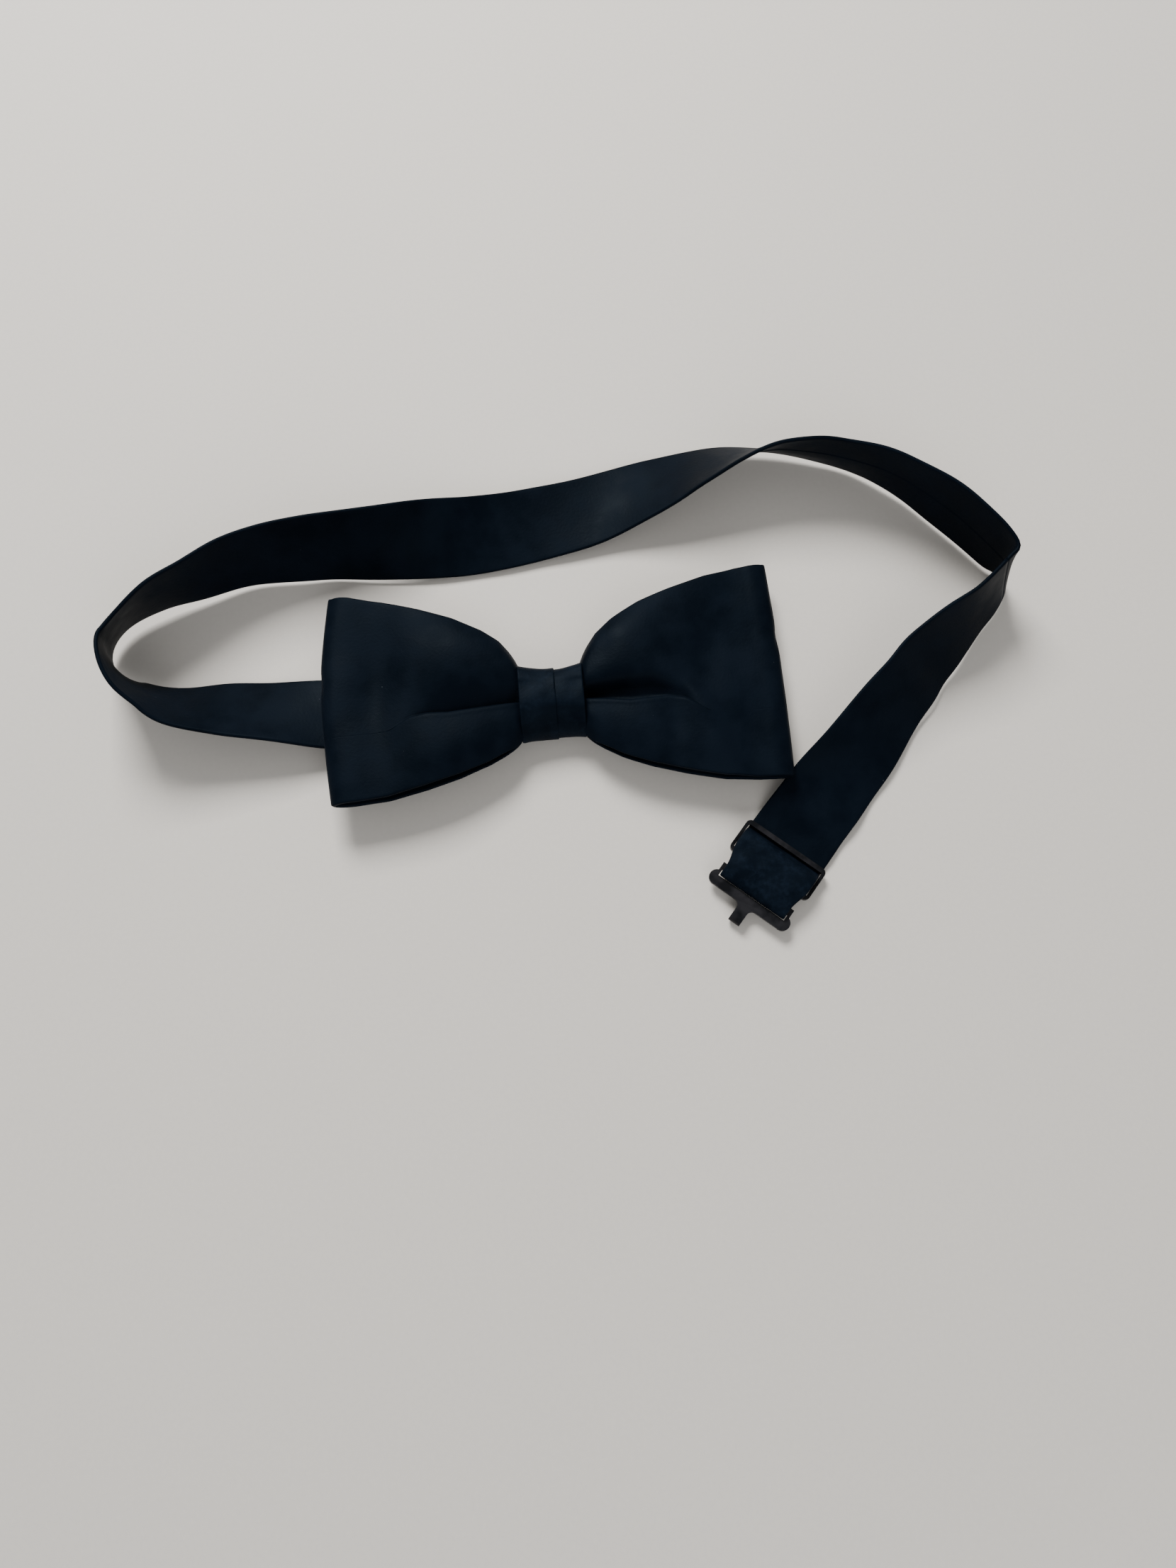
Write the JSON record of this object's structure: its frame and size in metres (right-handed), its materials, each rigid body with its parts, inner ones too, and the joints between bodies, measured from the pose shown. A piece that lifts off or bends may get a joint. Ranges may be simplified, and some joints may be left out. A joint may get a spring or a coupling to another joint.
{
  "type": "pre-tied bow tie",
  "caption": "Pre-tied satin bow tie with a gathered knot and an adjustable neckband ending in a hook, slider and eye.",
  "frame": {"origin": "centre of the knot band's back face, which lies on the surface under the tie", "axes": "+X along the bow towards the wing that hides the eye tab, +Y towards the bow's top edge, +Z out of the bow's front"},
  "size_m": [0.2273, 0.1293, 0.0225],
  "materials": {
    "satin": "midnight satin with a soft sheen",
    "interlining": "matt woven interlining",
    "lining": "matt woven lining",
    "thread": "polyester sewing thread",
    "black_metal": "black coated steel, glossy and slightly worn"
  },
  "bodies": {
    "bow": {"left_wing_satin": "satin", "left_wing_interlining": "interlining", "right_wing_satin": "satin", "right_wing_interlining": "interlining", "gather_thread": "thread", "knot_lining": "lining", "knot_band": "satin", "knot_stitches": "thread", "neckband_satin": "satin", "neckband_interlining": "interlining", "strap_seam": "thread", "eye_tab_satin": "satin", "eye_tab_interlining": "interlining", "eye_tab_stitches": "thread"},
    "hook_end": {"turned_end": "satin"},
    "hook": {"hook_plate": "black_metal"},
    "slider_body": {"slider": "black_metal", "slider_wrap": "satin", "slider_bartack": "thread"},
    "eye": {"eye_plate": "black_metal"}
  },
  "joints": [
    {"name": "slider_slide", "type": "slide", "parent": "bow", "child": "slider_body", "axis": [0.6561, 0.7547, 0], "range_m": [0, 0.03], "deforming": ["neckband_satin", "neckband_interlining"]},
    {"name": "hook_slide", "type": "slide", "parent": "slider_body", "child": "hook_end", "axis": [-0.6561, -0.7547, 0], "range_m": [0, 0.015], "deforming": ["turned_end"]},
    {"name": "hook_tilt", "type": "hinge", "parent": "hook_end", "child": "hook", "pos_m": [0.0444, -0.04881, 0.0027], "axis": [-0.7547, 0.6561, 0], "range_deg": [0, 70]},
    {"name": "eye_tilt", "type": "hinge", "parent": "bow", "child": "eye", "pos_m": [0.046, 0, 0.00225], "axis": [0, -1, 0], "range_deg": [-8, 8]}
  ],
  "couplings": [
    {"joint": "hook_slide", "follows": "slider_slide", "ratio": 0.5}
  ]
}
